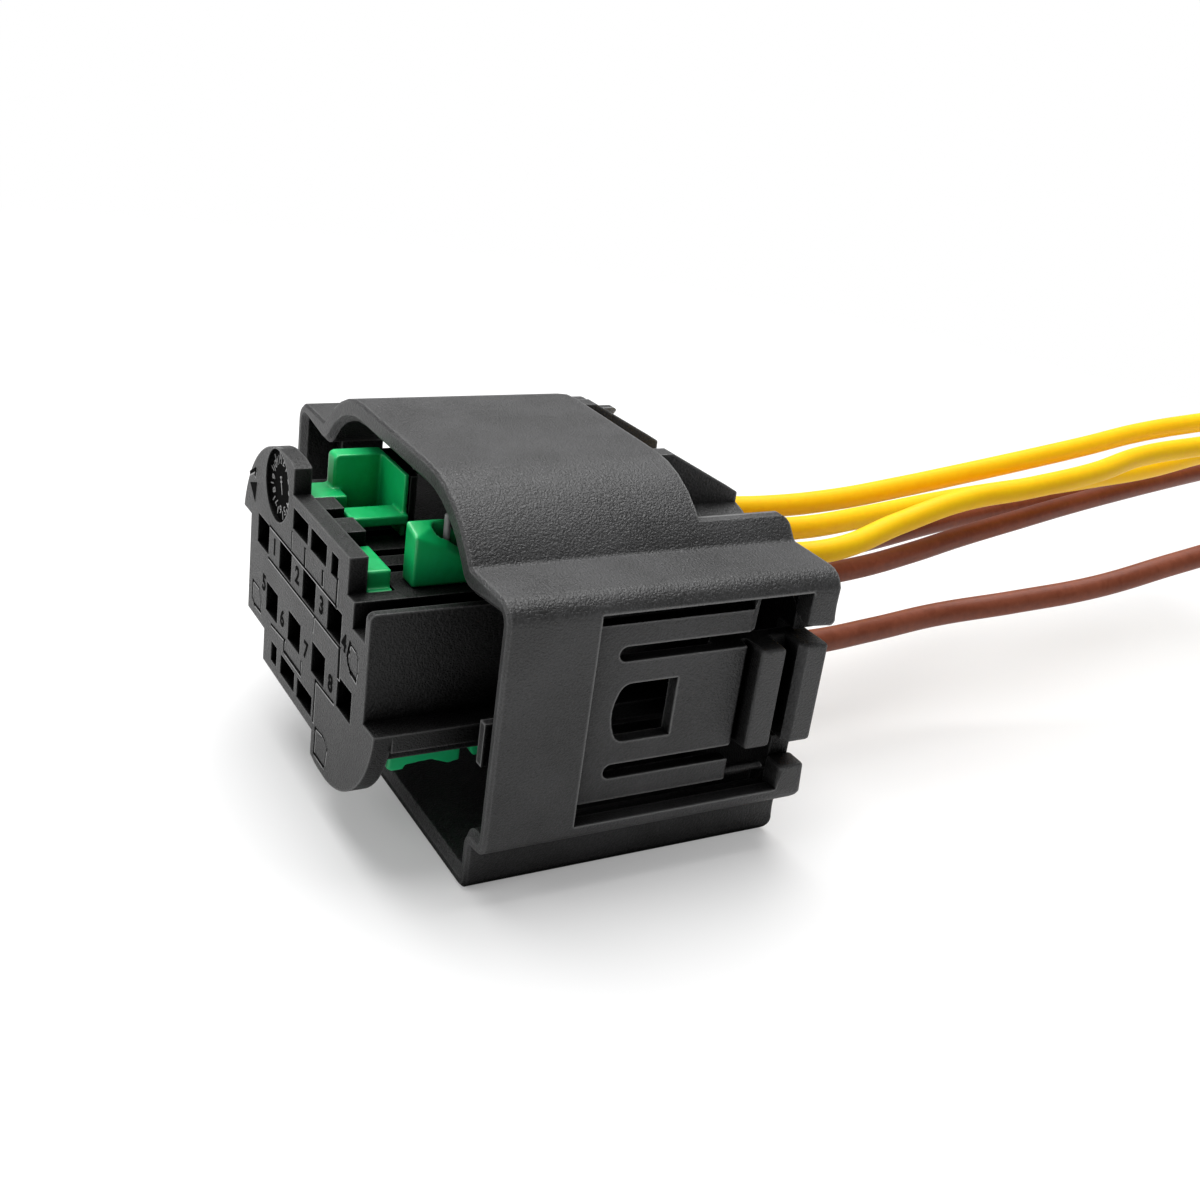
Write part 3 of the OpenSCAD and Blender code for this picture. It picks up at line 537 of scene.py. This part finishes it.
# Rings of the dial and their width, its numbers with their distance from the middle and
# height, and the ticks between them with their distance, width and length
RINGS = (1.1, 2.42)
RING_W = 0.1
HOURS = 12
HOUR_AT = 1.75
HOUR_H = 0.62
TICK_AT = 2.1
TICK_W = 0.09
TICK_L = 0.6
# Hand of the dial: its turn in degrees, the width of its lines, and each line's turn, place
# along the hand and length
HAND_TURN = 20
HAND_W = 0.1
HAND = ((20, 0.0, 1.3), (55, 0.4, 0.5), (-15, 0.4, 0.5))


def on_face(y, z, up, angle=0.0):
    """Place on the carrier's face: local x to the reader's right, y up and z out of it."""
    spot = Vector((FACE_X - up, y + INNER_Y, z)) * MM
    turn = Matrix(((0, 0, -1, 0), (-1, 0, 0, 0), (0, 1, 0, 0), (0, 0, 0, 1)))
    return Matrix.Translation(spot) @ turn @ Matrix.Rotation(angle, 4, "Z")


def add_bar(bm, place, x, y, z):
    """A bar of this size in millimetres along the axes of its place."""
    bmesh.ops.create_cube(bm, size=1.0, matrix=place @ Matrix.Diagonal((x * MM, y * MM, z * MM, 1)))


def face_stroke(bm, width, points, up):
    """A line on the face with square ends, from point to point."""
    for (y0, z0), (y1, z1) in zip(points, points[1:]):
        place = on_face((y0 + y1) / 2, (z0 + z1) / 2, 0, math.atan2(z1 - z0, y0 - y1))
        add_bar(bm, place, math.hypot(y1 - y0, z1 - z0) + width * STROKE_PAST, width, 2 * up)


def face_figure(bm, figure, place, height, bold):
    """A thin flat number."""
    curve = bpy.data.curves.new("cavity_number", "FONT")
    curve.body = figure
    curve.size = height * FONT_SIZE * MM
    curve.align_x = "CENTER"
    curve.align_y = "CENTER"
    curve.extrude = MARK_UP * MM
    curve.offset = bold * MM
    text = bpy.data.objects.new("cavity_number", curve)
    scene.collection.objects.link(text)
    mesh = bpy.data.meshes.new_from_object(text)
    mesh.transform(place)
    bm.from_mesh(mesh)
    bpy.data.objects.remove(text)
    bpy.data.meshes.remove(mesh)


def mark_face():
    """Moulded marks of the carrier's face and the cavity numbers, black as painted shade, and thin
    light rims along the strokes as a painted highlight."""
    for name, material, up, wider, away in (("face_marks", MARK_PBT, MARK_UP, 0.0, 0.0),
                                            ("mark_rims", RIDGE_PBT, RIM_UP, RIM_W, RIM_AWAY)):
        bm = bmesh.new()
        for width, points in STROKES:
            line = [(y - away, z - away) for y, z in points]
            face_stroke(bm, width + wider, line, up)
        if name == "face_marks":
            for figure, y, z in FIGURES:
                face_figure(bm, figure, on_face(y, z, 0), FIGURE_H, FIGURE_BOLD)
            corner = on_face(CORNER_Y, CORNER_Z, 0, CORNER_TURN)
            bmesh.ops.create_cone(bm, cap_ends=True, segments=3, radius1=CORNER_R * MM,
                                  radius2=CORNER_R * MM, depth=2 * up * MM, matrix=corner)
        seat(bm, name, material, "carrier_plastic")


def mark_dial():
    """The sunk dial: a floor in painted shade, and on it rings, numbers, ticks and a hand in a painted
    highlight.
    """
    bm = bmesh.new()
    floor_r = (DIAL_R - DIAL_ROOM) * MM
    bmesh.ops.create_cone(bm, cap_ends=True, segments=DIAL_SIDES, radius1=floor_r, radius2=floor_r,
                          depth=DIAL_THICK * MM, matrix=on_face(DIAL_Y, DIAL_Z, -DIAL_DEEP))
    seat(bm, "dial_floor", MARK_PBT, "carrier_plastic")
    bm = bmesh.new()
    floor = on_face(DIAL_Y, DIAL_Z, -DIAL_DEEP + DIAL_THICK)
    for radius in RINGS:
        ring = bmesh.ops.create_circle(bm, cap_ends=True, segments=DIAL_SIDES, radius=radius * MM,
                                       matrix=floor)
        face = ring["verts"][0].link_faces[0]
        bmesh.ops.inset_region(bm, faces=[face], thickness=RING_W * MM)
        bmesh.ops.delete(bm, geom=[face], context="FACES")
    for k in range(HOURS):
        turn = Matrix.Rotation(-math.radians(360 / HOURS * k), 4, "Z")
        hour = floor @ turn @ Matrix.Translation((0, HOUR_AT * MM, 0))
        face_figure(bm, str(k or HOURS), hour, HOUR_H, 0.0)
        half_hour = turn @ Matrix.Rotation(math.radians(180 / HOURS), 4, "Z")
        add_bar(bm, floor @ half_hour @ Matrix.Translation((0, TICK_AT * MM, 0)), TICK_W, TICK_L, DIAL_THICK)
    for angle, off, long in HAND:
        hand = Matrix.Rotation(math.radians(HAND_TURN), 4, "Z") @ Matrix.Translation((0, off * MM, 0))
        hand = hand @ Matrix.Rotation(math.radians(angle - HAND_TURN), 4, "Z")
        add_bar(bm, floor @ hand, HAND_W, long, DIAL_THICK)
    seat(bm, "dial_ridges", RIDGE_PBT, "carrier_plastic")


# Contacts in the plug, each in its own cage
CONTACTS = 6


def dress_contacts():
    """Metal of the crimped contacts and their spring cages."""
    for kind, material in (("contact", TIN_BRASS), ("cage", SPRING_STEEL)):
        for k in range(1, CONTACTS + 1):
            node = cad_nodes[f"{kind}_{k}"]
            node.data.materials.clear()
            node.data.materials.append(material)


# Studio, in metres: half the floor's side, and the paper's colour for the light that it throws
# back and for the camera
FLOOR_HALF = 3.0
PAPER = "#dedede"
PAPER_SEEN = "#f4f4f4"
# The floor that the camera sees grows white with the distance from a spot under the plug: the
# spot, where that starts and ends, and the share of white at its start
DARK_SPOT = (-0.024, 0.0, 0.0)
WHITE_STARTS = 0.02
WHITE_FULL = 0.2
WHITE_LEAST = 0.22
WHITE = (1, 1, 1, 1)
# Strength of the surround, and the lamps with their place, size and watts and what they face
SURROUND = 0.28
LAMPS = (("top_lamp", (0.05, 0.2, 0.57), (0.6, 0.6), 5.8),
         ("left_lamp", (-0.6, 0.05, 0.3), (0.4, 0.4), 1.35))
LAMPS_FACE = Vector((0, 0, 0.01))


def lay_floor():
    """A pale paper floor that runs out to white and keeps the plug's shadow."""
    mesh = bpy.data.meshes.new("studio_floor")
    floor = bpy.data.objects.new("studio_floor", mesh)
    scene.collection.objects.link(floor)
    bm = bmesh.new()
    bmesh.ops.create_grid(bm, x_segments=1, y_segments=1, size=FLOOR_HALF)
    bm.to_mesh(mesh)
    bm.free()
    material, tree = new_material("white paper floor")
    seen = add(tree, "ShaderNodeLightPath", {}).outputs["Is Camera Ray"]
    tone = add(tree, "ShaderNodeMix", {"Factor": seen, MIX_A: linear(PAPER), MIX_B: linear(PAPER_SEEN)},
               data_type="RGBA")
    paper = add(tree, "ShaderNodeBsdfDiffuse", {"Color": tone.outputs[MIXED]})
    glow = add(tree, "ShaderNodeEmission", {"Color": WHITE, "Strength": 1.0})
    place = add(tree, "ShaderNodeTexCoord", {}).outputs["Object"]
    away = add(tree, "ShaderNodeVectorMath", {0: place, 1: DARK_SPOT}, operation="DISTANCE")
    white = add(tree, "ShaderNodeMapRange", {
        "Value": away.outputs["Value"], "From Min": WHITE_STARTS, "From Max": WHITE_FULL,
        "To Min": WHITE_LEAST, "To Max": 1.0})
    share = add(tree, "ShaderNodeMath", {0: white.outputs["Result"], 1: seen}, operation="MULTIPLY")
    shown = add(tree, "ShaderNodeMixShader", {
        0: share.outputs["Value"], 1: paper.outputs["BSDF"], 2: glow.outputs["Emission"]})
    add(tree, "ShaderNodeOutputMaterial", {"Surface": shown.outputs["Shader"]})
    mesh.materials.append(material)


def light_surround():
    """A plain surround that lights softly, and is white to the camera."""
    world = bpy.data.worlds.new("studio_surround")
    world.use_nodes = True
    tree = world.node_tree
    tree.nodes.clear()
    seen = add(tree, "ShaderNodeLightPath", {}).outputs["Is Camera Ray"]
    dim = add(tree, "ShaderNodeBackground", {"Color": WHITE, "Strength": SURROUND})
    white = add(tree, "ShaderNodeBackground", {"Color": WHITE, "Strength": 1.0})
    shown = add(tree, "ShaderNodeMixShader", {
        0: seen, 1: dim.outputs["Background"], 2: white.outputs["Background"]})
    add(tree, "ShaderNodeOutputWorld", {"Surface": shown.outputs["Shader"]})
    scene.world = world


def hang_lamps():
    """Soft lamps that face the plug."""
    for name, at, size, watts in LAMPS:
        lamp = bpy.data.lights.new(name, "AREA")
        lamp.shape = "RECTANGLE"
        lamp.size, lamp.size_y = size
        lamp.energy = watts
        holder = bpy.data.objects.new(name, lamp)
        holder.location = at
        holder.rotation_euler = (LAMPS_FACE - Vector(at)).to_track_quat("-Z", "Y").to_euler()
        scene.collection.objects.link(holder)


studio_camera()
lay_wires()
mould_black_pieces()
mould_locks()
stand_post()
mark_face()
mark_dial()
dress_contacts()
lay_floor()
light_surround()
hang_lamps()
scene.view_settings.view_transform = "Standard"
